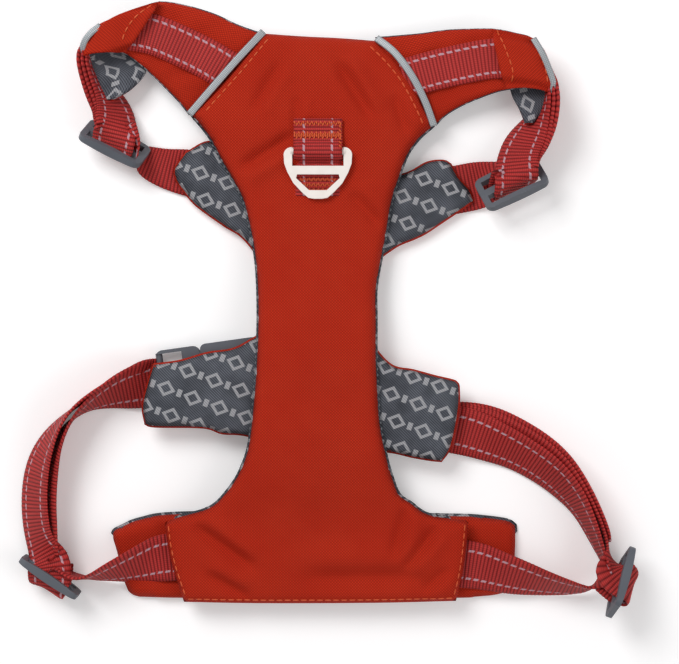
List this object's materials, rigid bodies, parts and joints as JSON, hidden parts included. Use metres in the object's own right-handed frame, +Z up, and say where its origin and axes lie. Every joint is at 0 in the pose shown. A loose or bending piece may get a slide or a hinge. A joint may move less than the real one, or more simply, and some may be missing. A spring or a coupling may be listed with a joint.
{
  "type": "no pull harness",
  "caption": "Padded dog harness laid flat: hourglass back and chest panels, folded shoulder sleeves, webbing straps with sliders, side release buckles and a hinged leash ring at back and chest.",
  "frame": {"origin": "on the table, under the middle of the chest webbing, whose flat face is the lowest part of the harness", "axes": "+X towards the wearer's right side, +Y towards the neck, +Z up from the table through the chest panel and then the back panel"},
  "size_m": [0.3238, 0.3182, 0.0371],
  "materials": {
    "red_shell": "woven rust red polyester",
    "red_webbing": "ribbed crimson webbing with two reflective lines",
    "grey_lining": "slate grey mesh lining with a pale print",
    "foam": "soft closed cell foam",
    "orange_thread": "thick orange thread",
    "reflective_piping": "grey reflective tape",
    "ring_metal": "satin silver",
    "grey_plastic": "moulded slate grey acetal"
  },
  "bodies": {
    "harness": {"back_panel_cover": "red_shell", "back_panel_foam": "foam", "back_panel_lining": "grey_lining", "belly_pad_cover": "red_shell", "belly_pad_foam": "foam", "belly_pad_lining": "grey_lining", "chest_panel_cover": "red_shell", "chest_panel_foam": "foam", "chest_panel_lining": "grey_lining", "leash_webbing": "red_webbing", "leash_webbing_stitching": "orange_thread", "chest_leash_webbing": "red_webbing", "left_neck_piping": "reflective_piping", "right_neck_piping": "reflective_piping", "left_sleeve_cover": "red_shell", "right_sleeve_cover": "red_shell", "left_sleeve_lining": "grey_lining", "right_sleeve_lining": "grey_lining", "left_shoulder_webbing": "red_webbing", "right_shoulder_webbing": "red_webbing", "left_shoulder_cap": "red_shell", "right_shoulder_cap": "red_shell", "left_cap_piping": "reflective_piping", "right_cap_piping": "reflective_piping", "left_shoulder_strap": "red_webbing", "right_shoulder_strap": "red_webbing", "left_belly_strap": "red_webbing", "right_belly_strap": "red_webbing", "left_buckle_tab": "red_webbing", "right_buckle_tab": "red_webbing", "left_buckle_socket": "grey_plastic", "right_buckle_socket": "grey_plastic"},
    "leash_ring": {"leash_ring": "ring_metal"},
    "chest_leash_ring": {"chest_leash_ring": "ring_metal"},
    "left_shoulder_slider": {"left_shoulder_slider": "grey_plastic"},
    "left_belly_slider": {"left_belly_slider": "grey_plastic"},
    "left_buckle_insert": {"left_buckle_insert": "grey_plastic"},
    "left_buckle_front_prong": {"left_buckle_front_prong": "grey_plastic"},
    "left_buckle_rear_prong": {"left_buckle_rear_prong": "grey_plastic"},
    "right_shoulder_slider": {"right_shoulder_slider": "grey_plastic"},
    "right_belly_slider": {"right_belly_slider": "grey_plastic"},
    "right_buckle_insert": {"right_buckle_insert": "grey_plastic"},
    "right_buckle_front_prong": {"right_buckle_front_prong": "grey_plastic"},
    "right_buckle_rear_prong": {"right_buckle_rear_prong": "grey_plastic"}
  },
  "joints": [
    {"name": "leash_ring_hinge", "type": "hinge", "parent": "harness", "child": "leash_ring", "pos_m": [0, 0.079, 0.02105], "axis": [-1, 0, 0], "range_deg": [0, 150]},
    {"name": "chest_leash_ring_hinge", "type": "hinge", "parent": "harness", "child": "chest_leash_ring", "pos_m": [0, 0.0785, 0.00395], "axis": [-1, 0, 0], "range_deg": [0, 120]},
    {"name": "left_shoulder_slider_slide", "type": "slide", "parent": "harness", "child": "left_shoulder_slider", "axis": [0.5855, 0.6148, 0.5284], "range_m": [0, 0.0015]},
    {"name": "right_shoulder_slider_slide", "type": "slide", "parent": "harness", "child": "right_shoulder_slider", "axis": [0.0622, 0.6681, 0.7414], "range_m": [0, 0.0015]},
    {"name": "left_belly_slider_slide", "type": "slide", "parent": "harness", "child": "left_belly_slider", "axis": [0.2453, 0.9694, 0], "range_m": [0, 0.0015]},
    {"name": "right_belly_slider_slide", "type": "slide", "parent": "harness", "child": "right_belly_slider", "axis": [-0.8176, 0.5541, -0.1565], "range_m": [0, 0.0015]},
    {"name": "left_buckle_release", "type": "slide", "parent": "harness", "child": "left_buckle_insert", "axis": [-0.9903, -0.1392, 0], "range_m": [0, 0.026], "deforming": ["left_belly_strap", "left_buckle_front_prong", "left_buckle_rear_prong"]},
    {"name": "left_buckle_front_squeeze", "type": "hinge", "parent": "left_buckle_insert", "child": "left_buckle_front_prong", "pos_m": [-0.06451, -0.02957, 0.0045], "axis": [0, 0, -1], "range_deg": [0, 9], "stiffness_Nm_per_rad": 0.3},
    {"name": "left_buckle_rear_squeeze", "type": "hinge", "parent": "left_buckle_insert", "child": "left_buckle_rear_prong", "pos_m": [-0.06217, -0.04621, 0.0045], "axis": [0, 0, 1], "range_deg": [0, 9], "stiffness_Nm_per_rad": 0.3},
    {"name": "right_buckle_release", "type": "slide", "parent": "harness", "child": "right_buckle_insert", "axis": [0.9703, -0.2419, 0], "range_m": [0, 0.026], "deforming": ["right_belly_strap", "right_buckle_front_prong", "right_buckle_rear_prong"]},
    {"name": "right_buckle_front_squeeze", "type": "hinge", "parent": "right_buckle_insert", "child": "right_buckle_front_prong", "pos_m": [0.04994, -0.0514, 0.0045], "axis": [0, 0, 1], "range_deg": [0, 9], "stiffness_Nm_per_rad": 0.3},
    {"name": "right_buckle_rear_squeeze", "type": "hinge", "parent": "right_buckle_insert", "child": "right_buckle_rear_prong", "pos_m": [0.04588, -0.0677, 0.0045], "axis": [0, 0, -1], "range_deg": [0, 9], "stiffness_Nm_per_rad": 0.3}
  ],
  "couplings": [
    {"joint": "left_buckle_rear_squeeze", "follows": "left_buckle_front_squeeze", "ratio": 1},
    {"joint": "right_buckle_rear_squeeze", "follows": "right_buckle_front_squeeze", "ratio": 1}
  ]
}
